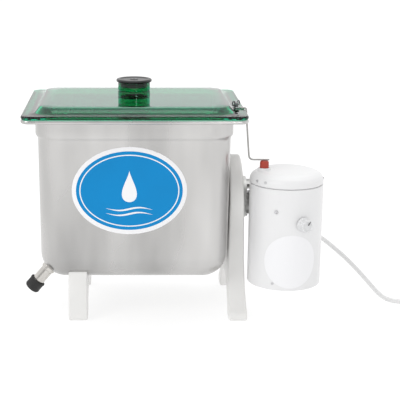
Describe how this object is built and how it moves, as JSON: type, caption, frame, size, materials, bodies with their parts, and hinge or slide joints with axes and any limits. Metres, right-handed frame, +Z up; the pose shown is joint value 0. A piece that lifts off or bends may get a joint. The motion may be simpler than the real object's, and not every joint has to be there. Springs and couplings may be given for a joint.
{
  "type": "electric butter churn",
  "caption": "Electric butter churn: a steel pan under a see-through green lid, on white stands, with a geared motor in an upright round housing turning a paddle.",
  "frame": {"origin": "on the floor, under the middle of the churn's length and of the pan's width", "axes": "+X along the pan towards the motor, +Y from the front to the back, +Z up"},
  "size_m": [0.6928, 0.266, 0.3565],
  "materials": {
    "pan_steel": "satin drawn sheet",
    "pipe_steel": "turned, bright",
    "paddle_steel": "satin",
    "wire_steel": "drawn rod",
    "screw_steel": "zinc plated",
    "ring_steel": "ground",
    "motor_steel": "dark enamel",
    "wing_metal": "dark, semi-matt",
    "gear_metal": "as cast",
    "gear_brass": "machined",
    "core_iron": "laminated",
    "winding_copper": "enamelled wire",
    "pin_metal": "nickel plated",
    "lid_green": "clear, polished",
    "tube_green": "clear, polished",
    "cap_black": "semi-gloss",
    "stand_white": "fine grain, soft edges",
    "housing_white": "semi-gloss",
    "bearing_plastic": "turned",
    "dark_plastic": "moulded",
    "board_green": "lacquered",
    "knob_grey": "fine grain",
    "button_red": "fine grain",
    "label_white": "film",
    "label_blue": "printed film",
    "black_rubber": "moulded",
    "cord_white": "smooth flexible sheath"
  },
  "bodies": {
    "frame": {"tank": "pan_steel", "tank_floor": "pan_steel", "tank_rim": "pan_steel", "drain_pipe": "pipe_steel", "left_stand": "stand_white", "right_stand": "stand_white", "stand_screws": "screw_steel", "front_label": "label_white", "front_emblem": "label_blue", "end_bearing": "bearing_plastic", "seal_housing": "gear_metal", "shaft_seal": "black_rubber", "seal_screws": "screw_steel", "drive_neck": "gear_metal", "neck_screws": "screw_steel", "gearbox_inner": "gear_metal", "gearbox_outer": "gear_metal", "gearbox_bolts": "screw_steel", "shaft_bearings": "ring_steel", "worm_bearings": "ring_steel", "motor_can": "motor_steel", "stator": "winding_copper", "motor_flange": "gear_metal", "motor_housing": "housing_white", "housing_base": "housing_white", "base_screws": "screw_steel", "housing_cap": "housing_white", "cap_screws": "screw_steel", "motor_label": "label_white", "housing_screw": "screw_steel", "board_carrier": "dark_plastic", "control_board": "board_green", "board_parts": "dark_plastic", "potentiometer": "dark_plastic", "pot_nut": "screw_steel", "safety_switch": "dark_plastic", "cable_gland": "cord_white", "strain_relief": "cord_white", "mains_cord": "cord_white", "cord_coil": "cord_white", "cord_tail": "cord_white", "plug_body": "cord_white", "plug_pins": "pin_metal"},
    "lid": {"lid": "lid_green", "fill_tube": "tube_green", "interlock_arm": "wire_steel", "clamp_stud": "screw_steel", "clamp_washer": "screw_steel"},
    "fill_cap": {"fill_cap": "cap_black"},
    "wing_nut": {"wing_nut": "wing_metal"},
    "paddle": {"paddle_blade": "paddle_steel", "paddle_shaft": "paddle_steel", "drive_shaft": "screw_steel", "cross_pin": "screw_steel", "worm_wheel": "gear_brass"},
    "worm": {"worm_shaft": "ring_steel", "rotor_core": "core_iron"},
    "knob": {"speed_knob": "knob_grey"},
    "button": {"safety_button": "button_red"},
    "drain_cap": {"drain_cap": "black_rubber"}
  },
  "joints": [
    {"name": "lid_lift", "type": "slide", "parent": "frame", "child": "lid", "axis": [0, 0, 1], "range_m": [0, 0.12]},
    {"name": "fill_cap_lift", "type": "slide", "parent": "lid", "child": "fill_cap", "axis": [0, 0, 1], "range_m": [0, 0.05]},
    {"name": "wing_nut_turn", "type": "hinge", "parent": "lid", "child": "wing_nut", "pos_m": [0.09, -0.065, 0.33], "axis": [0, 0, 1], "range_deg": [0, 180]},
    {"name": "paddle_spin", "type": "hinge", "parent": "frame", "child": "paddle", "pos_m": [0, 0, 0.171], "axis": [1, 0, 0], "continuous": true},
    {"name": "worm_spin", "type": "hinge", "parent": "frame", "child": "worm", "pos_m": [0.1696, -0.0415, 0.171], "axis": [0, 0, 1], "continuous": true},
    {"name": "knob_turn", "type": "hinge", "parent": "frame", "child": "knob", "pos_m": [0.1696, -0.06, 0.156], "axis": [0.3338, -0.9426, 0], "range_deg": [-135, 135]},
    {"name": "button_press", "type": "slide", "parent": "frame", "child": "button", "axis": [0, 0, -1], "range_m": [0, 0.003], "stiffness_N_per_m": 600, "springref_m": -0.003},
    {"name": "drain_cap_pull", "type": "slide", "parent": "frame", "child": "drain_cap", "axis": [-0.6428, 0, -0.766], "range_m": [0, 0.025]}
  ],
  "couplings": [
    {"joint": "worm_spin", "follows": "paddle_spin", "ratio": 38}
  ]
}
